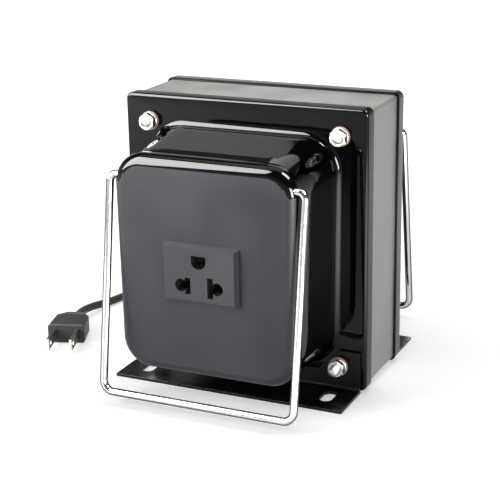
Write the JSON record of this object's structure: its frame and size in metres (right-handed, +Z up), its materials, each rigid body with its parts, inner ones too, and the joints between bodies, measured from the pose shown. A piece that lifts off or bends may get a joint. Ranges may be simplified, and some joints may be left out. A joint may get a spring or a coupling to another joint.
{
  "type": "step-up and step-down voltage converter",
  "caption": "Desk-top voltage converter with a laminated core between drawn black steel bells, a universal outlet, wire bail handles, slotted feet and a tied mains lead.",
  "frame": {"origin": "on the table, at the middle of the footprint of the converter without its lead", "axes": "+X to the right seen from the outlet side, +Y from the outlet side to the controls at the back, +Z up"},
  "size_m": [0.2015, 0.243, 0.146],
  "materials": {
    "core_steel": "varnished laminated electrical steel, warm grey",
    "former_nylon": "moulded nylon former",
    "winding_copper": "enamelled copper wire, layer wound",
    "insulation_film": "polyester insulation film",
    "cover_paint": "gloss black enamel on drawn sheet steel",
    "panel_paint": "satin dark purplish grey face with a gloss black rim",
    "outlet_plastic": "black moulded thermoplastic",
    "contact_brass": "stamped brass",
    "bail_chrome": "bright plated steel wire",
    "foot_paint": "black enamel on bent sheet steel",
    "bolt_zinc": "bright zinc plate",
    "washer_fibre": "red vulcanised fibre",
    "control_plastic": "black moulded plastic",
    "key_plastic": "black moulded plastic key",
    "fuse_glass": "clear glass tube",
    "strip_board": "brown paper laminate board",
    "lead_rubber": "black flexible mains lead",
    "tie_plastic": "black nylon tie",
    "plug_plastic": "black moulded plug"
  },
  "bodies": {
    "chassis": {"core_e_laminations": "core_steel", "core_i_laminations": "core_steel", "coil_former": "former_nylon", "inner_winding": "winding_copper", "layer_insulation": "insulation_film", "outer_winding": "winding_copper", "outer_wrap": "insulation_film", "front_cover": "cover_paint", "rear_cover": "cover_paint", "front_panel": "panel_paint", "rear_panel": "panel_paint", "outlet_body": "outlet_plastic", "outlet_back": "outlet_plastic", "outlet_left_contact": "contact_brass", "outlet_right_contact": "contact_brass", "outlet_ground_contact": "contact_brass", "front_foot": "foot_paint", "rear_foot": "foot_paint", "through_bolts": "bolt_zinc", "bolt_nuts": "bolt_zinc", "steel_washers": "bolt_zinc", "front_fibre_washers": "washer_fibre", "rear_fibre_washers": "washer_fibre", "rocker_switch_body": "control_plastic", "selector_body": "control_plastic", "fuse_holder_body": "control_plastic", "fuse_ring_nut": "control_plastic", "terminal_strip": "strip_board", "terminal_lugs": "contact_brass", "cord_gland": "lead_rubber", "lead_from_gland": "lead_rubber", "lead_coil": "lead_rubber", "lead_to_plug": "lead_rubber", "lead_tie": "tie_plastic", "plug_body": "plug_plastic", "plug_blades": "contact_brass"},
    "front_bail": {"front_bail": "bail_chrome"},
    "rear_bail": {"rear_bail": "bail_chrome"},
    "rocker": {"rocker_key": "key_plastic"},
    "selector": {"selector_knob": "key_plastic"},
    "fuse_carrier": {"fuse_cap": "control_plastic", "fuse_carrier": "control_plastic", "fuse_glass": "fuse_glass", "fuse_ferrules": "contact_brass"}
  },
  "joints": [
    {"name": "front_bail_swing", "type": "hinge", "parent": "chassis", "child": "front_bail", "pos_m": [0, -0.06985, 0.115], "axis": [-1, 0, 0], "range_deg": [-8, 208]},
    {"name": "rear_bail_swing", "type": "hinge", "parent": "chassis", "child": "rear_bail", "pos_m": [0, 0.06985, 0.115], "axis": [1, 0, 0], "range_deg": [-8, 208]},
    {"name": "rocker_tilt", "type": "hinge", "parent": "chassis", "child": "rocker", "pos_m": [-0.02213, 0.07445, 0.09235], "axis": [1, 0, 0], "range_deg": [-16, 0]},
    {"name": "selector_slide", "type": "slide", "parent": "chassis", "child": "selector", "axis": [1, 0, 0], "range_m": [0, 0.005]},
    {"name": "fuse_cap_turn", "type": "hinge", "parent": "chassis", "child": "fuse_carrier", "pos_m": [0, 0.07385, 0.05635], "axis": [0, 1, 0], "range_deg": [0, 90]}
  ]
}
